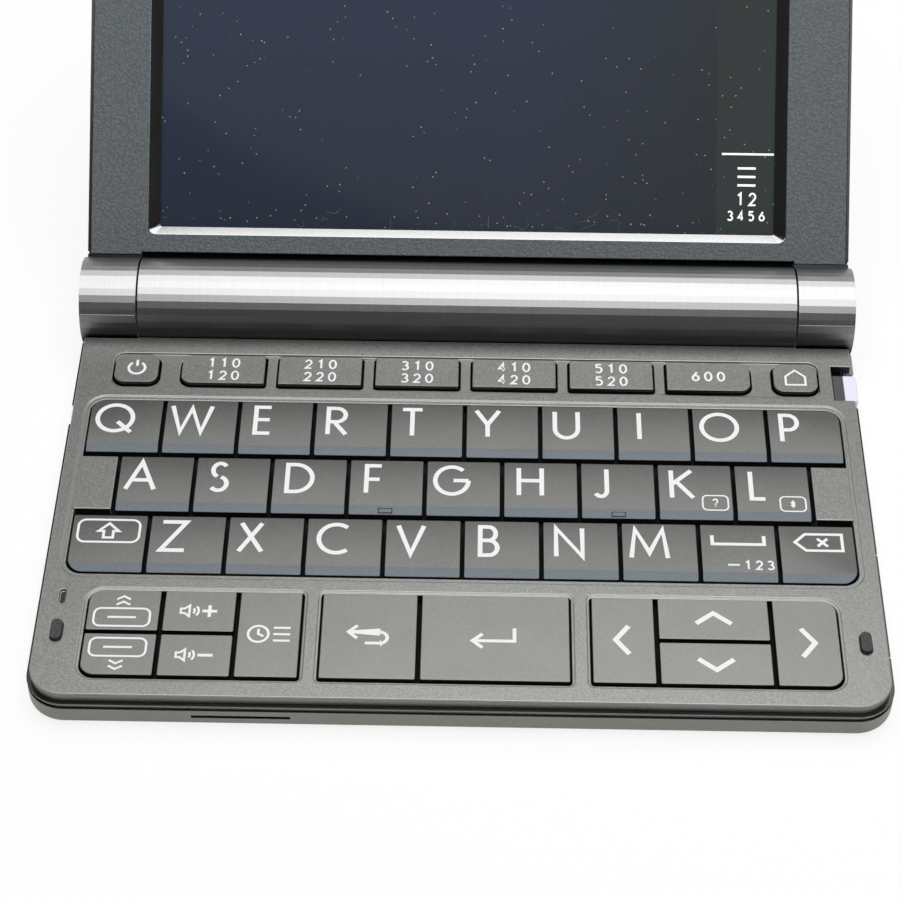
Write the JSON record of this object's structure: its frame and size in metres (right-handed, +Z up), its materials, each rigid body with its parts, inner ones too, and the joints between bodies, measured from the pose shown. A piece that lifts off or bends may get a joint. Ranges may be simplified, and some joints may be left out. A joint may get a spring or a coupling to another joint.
{
  "type": "electronic dictionary",
  "caption": "Clamshell pocket electronic dictionary: letter keyboard base, faceted battery barrel hinge, display lid and side stylus.",
  "frame": {"origin": "on the table, under the middle of the open object's box", "axes": "+X right as the user sees it, +Y to the rear, +Z up"},
  "size_m": [0.148, 0.167, 0.0739],
  "materials": {
    "case_lower": "fine matte",
    "case_upper": "fine matte",
    "barrel_metal": "satin silver",
    "cell_jacket": "satin jacket",
    "board": "solder mask",
    "pin_steel": "ground",
    "stylus_plastic": "satin",
    "rubber": "matte",
    "lid_shell": "satin silver",
    "bezel_plastic": "leather grain",
    "display_glass": "polished",
    "key_plastic": "fine matte"
  },
  "bodies": {
    "base": {"lower_case": "case_lower", "upper_case": "case_upper", "hinge_barrel": "barrel_metal", "battery_cells": "cell_jacket", "circuit_board": "board", "hinge_pins": "pin_steel", "rubber_feet": "rubber"},
    "lid": {"lid_rear_cover": "lid_shell", "lid_bezel": "bezel_plastic", "display_panel": "display_glass"},
    "battery_cover": {"battery_cover": "barrel_metal"},
    "stylus": {"stylus": "stylus_plastic"},
    "key_power": {"key_power": "key_plastic"},
    "key_title_1": {"key_title_1": "key_plastic"},
    "key_title_2": {"key_title_2": "key_plastic"},
    "key_title_3": {"key_title_3": "key_plastic"},
    "key_title_4": {"key_title_4": "key_plastic"},
    "key_title_5": {"key_title_5": "key_plastic"},
    "key_title_6": {"key_title_6": "key_plastic"},
    "key_home": {"key_home": "key_plastic"},
    "key_q": {"key_q": "key_plastic"},
    "key_w": {"key_w": "key_plastic"},
    "key_e": {"key_e": "key_plastic"},
    "key_r": {"key_r": "key_plastic"},
    "key_t": {"key_t": "key_plastic"},
    "key_y": {"key_y": "key_plastic"},
    "key_u": {"key_u": "key_plastic"},
    "key_i": {"key_i": "key_plastic"},
    "key_o": {"key_o": "key_plastic"},
    "key_p": {"key_p": "key_plastic"},
    "key_a": {"key_a": "key_plastic"},
    "key_s": {"key_s": "key_plastic"},
    "key_d": {"key_d": "key_plastic"},
    "key_f": {"key_f": "key_plastic"},
    "key_g": {"key_g": "key_plastic"},
    "key_h": {"key_h": "key_plastic"},
    "key_j": {"key_j": "key_plastic"},
    "key_k": {"key_k": "key_plastic"},
    "key_l": {"key_l": "key_plastic"},
    "key_shift": {"key_shift": "key_plastic"},
    "key_z": {"key_z": "key_plastic"},
    "key_x": {"key_x": "key_plastic"},
    "key_c": {"key_c": "key_plastic"},
    "key_v": {"key_v": "key_plastic"},
    "key_b": {"key_b": "key_plastic"},
    "key_n": {"key_n": "key_plastic"},
    "key_m": {"key_m": "key_plastic"},
    "key_space": {"key_space": "key_plastic"},
    "key_delete": {"key_delete": "key_plastic"},
    "key_previous": {"key_previous": "key_plastic"},
    "key_next": {"key_next": "key_plastic"},
    "key_volume_up": {"key_volume_up": "key_plastic"},
    "key_volume_down": {"key_volume_down": "key_plastic"},
    "key_history": {"key_history": "key_plastic"},
    "key_back": {"key_back": "key_plastic"},
    "key_enter": {"key_enter": "key_plastic"},
    "key_left": {"key_left": "key_plastic"},
    "key_up": {"key_up": "key_plastic"},
    "key_down": {"key_down": "key_plastic"},
    "key_right": {"key_right": "key_plastic"}
  },
  "joints": [
    {"name": "lid_hinge", "type": "hinge", "parent": "base", "child": "lid", "pos_m": [0, 0.01133, 0.0091], "axis": [1, 0, 0], "range_deg": [0, 137]},
    {"name": "battery_cover_hinge", "type": "hinge", "parent": "base", "child": "battery_cover", "pos_m": [0, 0.00748, 0.00153], "axis": [-1, 0, 0], "range_deg": [0, 60]},
    {"name": "stylus_slide", "type": "slide", "parent": "base", "child": "stylus", "axis": [1, 0, 0], "range_m": [0, 0.075]},
    {"name": "key_power_press", "type": "slide", "parent": "base", "child": "key_power", "axis": [0, 0, -1], "range_m": [0, 0.0008], "stiffness_N_per_m": 700},
    {"name": "key_title_1_press", "type": "slide", "parent": "base", "child": "key_title_1", "axis": [0, 0, -1], "range_m": [0, 0.0008], "stiffness_N_per_m": 700},
    {"name": "key_title_2_press", "type": "slide", "parent": "base", "child": "key_title_2", "axis": [0, 0, -1], "range_m": [0, 0.0008], "stiffness_N_per_m": 700},
    {"name": "key_title_3_press", "type": "slide", "parent": "base", "child": "key_title_3", "axis": [0, 0, -1], "range_m": [0, 0.0008], "stiffness_N_per_m": 700},
    {"name": "key_title_4_press", "type": "slide", "parent": "base", "child": "key_title_4", "axis": [0, 0, -1], "range_m": [0, 0.0008], "stiffness_N_per_m": 700},
    {"name": "key_title_5_press", "type": "slide", "parent": "base", "child": "key_title_5", "axis": [0, 0, -1], "range_m": [0, 0.0008], "stiffness_N_per_m": 700},
    {"name": "key_title_6_press", "type": "slide", "parent": "base", "child": "key_title_6", "axis": [0, 0, -1], "range_m": [0, 0.0008], "stiffness_N_per_m": 700},
    {"name": "key_home_press", "type": "slide", "parent": "base", "child": "key_home", "axis": [0, 0, -1], "range_m": [0, 0.0008], "stiffness_N_per_m": 700},
    {"name": "key_q_press", "type": "slide", "parent": "base", "child": "key_q", "axis": [0, 0, -1], "range_m": [0, 0.0008], "stiffness_N_per_m": 700},
    {"name": "key_w_press", "type": "slide", "parent": "base", "child": "key_w", "axis": [0, 0, -1], "range_m": [0, 0.0008], "stiffness_N_per_m": 700},
    {"name": "key_e_press", "type": "slide", "parent": "base", "child": "key_e", "axis": [0, 0, -1], "range_m": [0, 0.0008], "stiffness_N_per_m": 700},
    {"name": "key_r_press", "type": "slide", "parent": "base", "child": "key_r", "axis": [0, 0, -1], "range_m": [0, 0.0008], "stiffness_N_per_m": 700},
    {"name": "key_t_press", "type": "slide", "parent": "base", "child": "key_t", "axis": [0, 0, -1], "range_m": [0, 0.0008], "stiffness_N_per_m": 700},
    {"name": "key_y_press", "type": "slide", "parent": "base", "child": "key_y", "axis": [0, 0, -1], "range_m": [0, 0.0008], "stiffness_N_per_m": 700},
    {"name": "key_u_press", "type": "slide", "parent": "base", "child": "key_u", "axis": [0, 0, -1], "range_m": [0, 0.0008], "stiffness_N_per_m": 700},
    {"name": "key_i_press", "type": "slide", "parent": "base", "child": "key_i", "axis": [0, 0, -1], "range_m": [0, 0.0008], "stiffness_N_per_m": 700},
    {"name": "key_o_press", "type": "slide", "parent": "base", "child": "key_o", "axis": [0, 0, -1], "range_m": [0, 0.0008], "stiffness_N_per_m": 700},
    {"name": "key_p_press", "type": "slide", "parent": "base", "child": "key_p", "axis": [0, 0, -1], "range_m": [0, 0.0008], "stiffness_N_per_m": 700},
    {"name": "key_a_press", "type": "slide", "parent": "base", "child": "key_a", "axis": [0, 0, -1], "range_m": [0, 0.0008], "stiffness_N_per_m": 700},
    {"name": "key_s_press", "type": "slide", "parent": "base", "child": "key_s", "axis": [0, 0, -1], "range_m": [0, 0.0008], "stiffness_N_per_m": 700},
    {"name": "key_d_press", "type": "slide", "parent": "base", "child": "key_d", "axis": [0, 0, -1], "range_m": [0, 0.0008], "stiffness_N_per_m": 700},
    {"name": "key_f_press", "type": "slide", "parent": "base", "child": "key_f", "axis": [0, 0, -1], "range_m": [0, 0.0008], "stiffness_N_per_m": 700},
    {"name": "key_g_press", "type": "slide", "parent": "base", "child": "key_g", "axis": [0, 0, -1], "range_m": [0, 0.0008], "stiffness_N_per_m": 700},
    {"name": "key_h_press", "type": "slide", "parent": "base", "child": "key_h", "axis": [0, 0, -1], "range_m": [0, 0.0008], "stiffness_N_per_m": 700},
    {"name": "key_j_press", "type": "slide", "parent": "base", "child": "key_j", "axis": [0, 0, -1], "range_m": [0, 0.0008], "stiffness_N_per_m": 700},
    {"name": "key_k_press", "type": "slide", "parent": "base", "child": "key_k", "axis": [0, 0, -1], "range_m": [0, 0.0008], "stiffness_N_per_m": 700},
    {"name": "key_l_press", "type": "slide", "parent": "base", "child": "key_l", "axis": [0, 0, -1], "range_m": [0, 0.0008], "stiffness_N_per_m": 700},
    {"name": "key_shift_press", "type": "slide", "parent": "base", "child": "key_shift", "axis": [0, 0, -1], "range_m": [0, 0.0008], "stiffness_N_per_m": 700},
    {"name": "key_z_press", "type": "slide", "parent": "base", "child": "key_z", "axis": [0, 0, -1], "range_m": [0, 0.0008], "stiffness_N_per_m": 700},
    {"name": "key_x_press", "type": "slide", "parent": "base", "child": "key_x", "axis": [0, 0, -1], "range_m": [0, 0.0008], "stiffness_N_per_m": 700},
    {"name": "key_c_press", "type": "slide", "parent": "base", "child": "key_c", "axis": [0, 0, -1], "range_m": [0, 0.0008], "stiffness_N_per_m": 700},
    {"name": "key_v_press", "type": "slide", "parent": "base", "child": "key_v", "axis": [0, 0, -1], "range_m": [0, 0.0008], "stiffness_N_per_m": 700},
    {"name": "key_b_press", "type": "slide", "parent": "base", "child": "key_b", "axis": [0, 0, -1], "range_m": [0, 0.0008], "stiffness_N_per_m": 700},
    {"name": "key_n_press", "type": "slide", "parent": "base", "child": "key_n", "axis": [0, 0, -1], "range_m": [0, 0.0008], "stiffness_N_per_m": 700},
    {"name": "key_m_press", "type": "slide", "parent": "base", "child": "key_m", "axis": [0, 0, -1], "range_m": [0, 0.0008], "stiffness_N_per_m": 700},
    {"name": "key_space_press", "type": "slide", "parent": "base", "child": "key_space", "axis": [0, 0, -1], "range_m": [0, 0.0008], "stiffness_N_per_m": 700},
    {"name": "key_delete_press", "type": "slide", "parent": "base", "child": "key_delete", "axis": [0, 0, -1], "range_m": [0, 0.0008], "stiffness_N_per_m": 700},
    {"name": "key_previous_press", "type": "slide", "parent": "base", "child": "key_previous", "axis": [0, 0, -1], "range_m": [0, 0.0008], "stiffness_N_per_m": 700},
    {"name": "key_next_press", "type": "slide", "parent": "base", "child": "key_next", "axis": [0, 0, -1], "range_m": [0, 0.0008], "stiffness_N_per_m": 700},
    {"name": "key_volume_up_press", "type": "slide", "parent": "base", "child": "key_volume_up", "axis": [0, 0, -1], "range_m": [0, 0.0008], "stiffness_N_per_m": 700},
    {"name": "key_volume_down_press", "type": "slide", "parent": "base", "child": "key_volume_down", "axis": [0, 0, -1], "range_m": [0, 0.0008], "stiffness_N_per_m": 700},
    {"name": "key_history_press", "type": "slide", "parent": "base", "child": "key_history", "axis": [0, 0, -1], "range_m": [0, 0.0008], "stiffness_N_per_m": 700},
    {"name": "key_back_press", "type": "slide", "parent": "base", "child": "key_back", "axis": [0, 0, -1], "range_m": [0, 0.0008], "stiffness_N_per_m": 700},
    {"name": "key_enter_press", "type": "slide", "parent": "base", "child": "key_enter", "axis": [0, 0, -1], "range_m": [0, 0.0008], "stiffness_N_per_m": 700},
    {"name": "key_left_press", "type": "slide", "parent": "base", "child": "key_left", "axis": [0, 0, -1], "range_m": [0, 0.0008], "stiffness_N_per_m": 700},
    {"name": "key_up_press", "type": "slide", "parent": "base", "child": "key_up", "axis": [0, 0, -1], "range_m": [0, 0.0008], "stiffness_N_per_m": 700},
    {"name": "key_down_press", "type": "slide", "parent": "base", "child": "key_down", "axis": [0, 0, -1], "range_m": [0, 0.0008], "stiffness_N_per_m": 700},
    {"name": "key_right_press", "type": "slide", "parent": "base", "child": "key_right", "axis": [0, 0, -1], "range_m": [0, 0.0008], "stiffness_N_per_m": 700}
  ]
}
